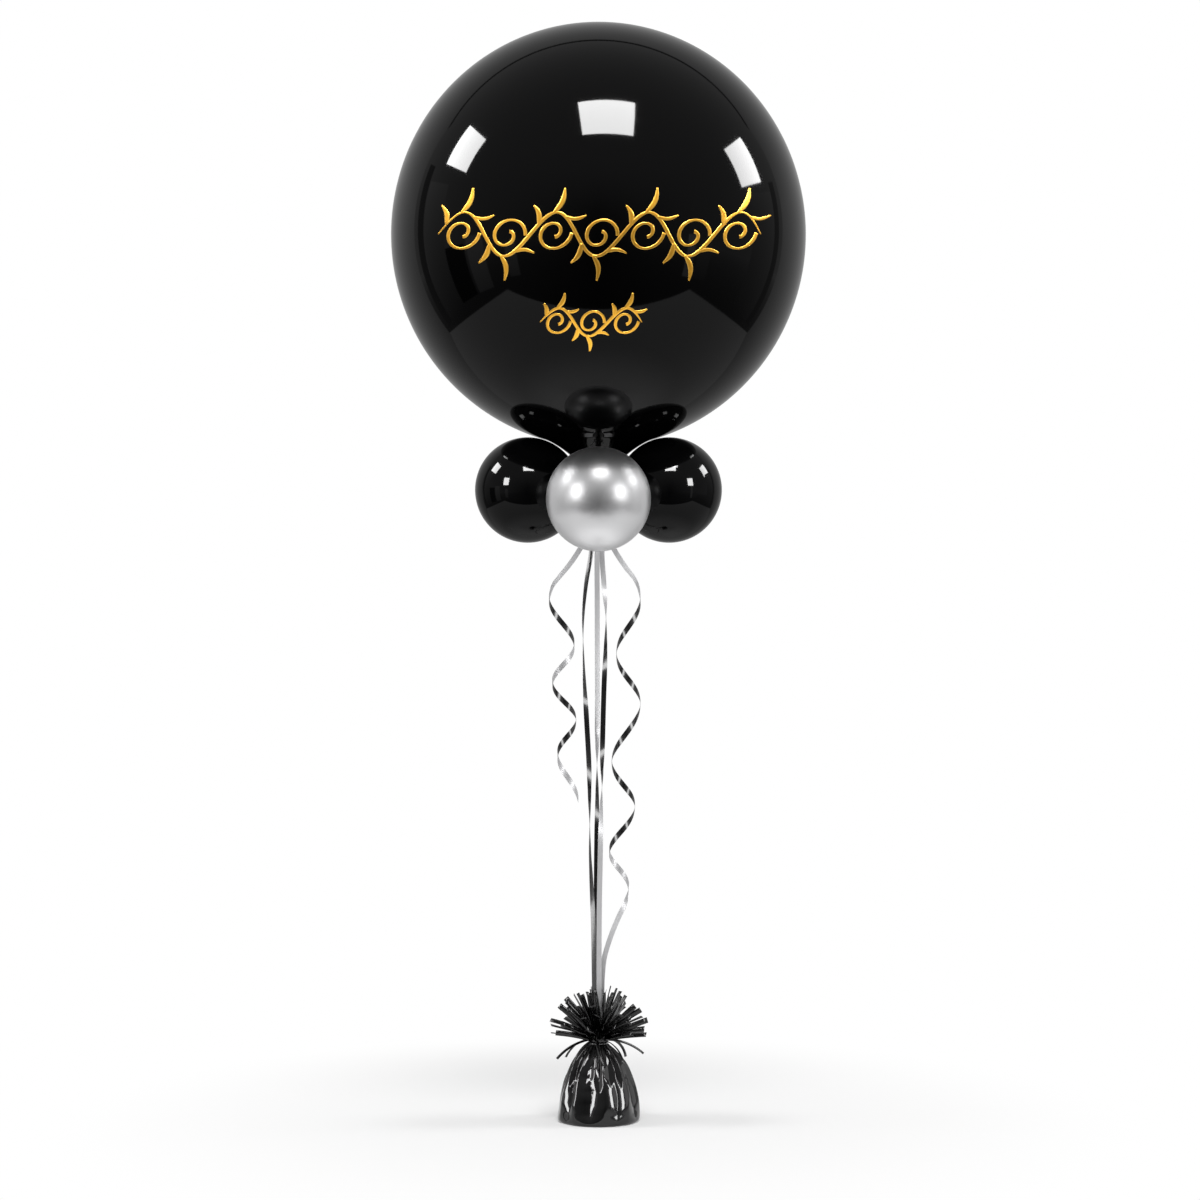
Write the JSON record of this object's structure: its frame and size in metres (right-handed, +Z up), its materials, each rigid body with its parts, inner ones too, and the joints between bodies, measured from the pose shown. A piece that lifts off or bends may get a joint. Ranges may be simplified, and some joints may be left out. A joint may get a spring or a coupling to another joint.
{
  "type": "helium balloon",
  "caption": "Large round balloon with a ring of small balloons at its neck, straight and curled ribbons, and a foil-wrapped, tasselled weight that stands on a flat base.",
  "frame": {"origin": "middle of the weight's flat underside, on the surface that it stands on", "axes": "+Z up through the weight, the ribbons and the large balloon; -Y is the printed front, where the silver ball shows; +X is to the right seen from the front"},
  "size_m": [0.4046, 0.4046, 1.0698],
  "materials": {
    "black_latex": "gloss",
    "silver_latex": "satin metallic",
    "metallic_ribbon": "metallised, black on one face and silver on the other",
    "black_foil": "mirror-gloss metallised film",
    "tie_thread": "thin pale thread",
    "gold_print": "metallic gold print"
  },
  "bodies": {
    "root": {"orb_balloon": "black_latex", "orb_neck": "black_latex", "collar_balloon_left": "black_latex", "collar_balloon_right": "black_latex", "collar_balloon_front": "silver_latex", "collar_balloon_back": "silver_latex", "ribbon_knot": "metallic_ribbon", "ribbon_straight_left": "metallic_ribbon", "ribbon_straight_middle": "metallic_ribbon", "ribbon_straight_right": "metallic_ribbon", "ribbon_curly_left_lead": "metallic_ribbon", "ribbon_curly_left_curl": "metallic_ribbon", "ribbon_curly_right_lead": "metallic_ribbon", "ribbon_curly_right_curl": "metallic_ribbon", "ribbon_curly_right_tail": "metallic_ribbon", "weight_wrap": "black_foil", "weight_fringe": "black_foil", "weight_tie": "tie_thread"}
  },
  "joints": []
}
